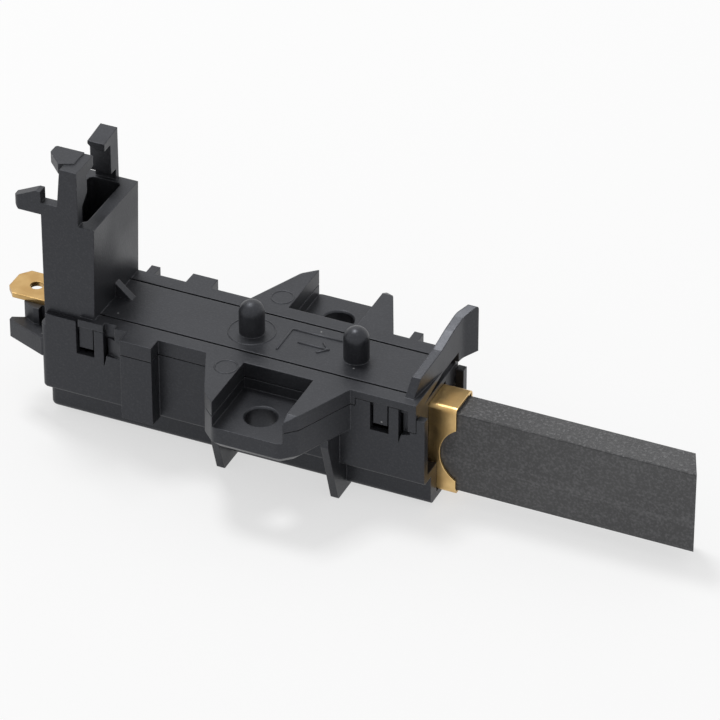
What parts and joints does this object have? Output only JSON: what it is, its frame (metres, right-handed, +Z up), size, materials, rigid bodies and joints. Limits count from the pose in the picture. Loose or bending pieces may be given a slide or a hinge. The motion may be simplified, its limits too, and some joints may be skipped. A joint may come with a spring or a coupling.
{
  "type": "carbon brush with holder",
  "caption": "Carbon brush in a black plastic holder with screw wings, a plug tower with hooks, a blade terminal and a sprung carbon block that slides in a folded brass tube.",
  "frame": {"origin": "midway between the two screw holes, on the seat under the wings", "axes": "+X along the carbon towards its running face, +Y across the holder, +Z up out of the deck"},
  "size_m": [0.108, 0.037, 0.0441],
  "materials": {
    "cover": "satin moulded black plastic",
    "shell": "satin moulded black plastic",
    "guide_tube": "folded brass sheet, plain",
    "carbon": "pressed carbon and graphite, dull, fine speckle",
    "blade_terminal": "stamped brass, bright",
    "spring": "drawn spring wire",
    "shunt": "stranded copper"
  },
  "bodies": {
    "holder": {"cover": "cover", "shell": "shell", "guide_tube": "guide_tube", "blade_terminal": "blade_terminal", "spring": "spring", "shunt": "shunt"},
    "brush": {"carbon": "carbon"}
  },
  "joints": [
    {"name": "carbon_slide", "type": "slide", "parent": "holder", "child": "brush", "axis": [1, 0, 0], "range_m": [-0.034, 0], "stiffness_N_per_m": 60, "springref_m": 0.03, "deforming": ["spring", "shunt"]}
  ]
}
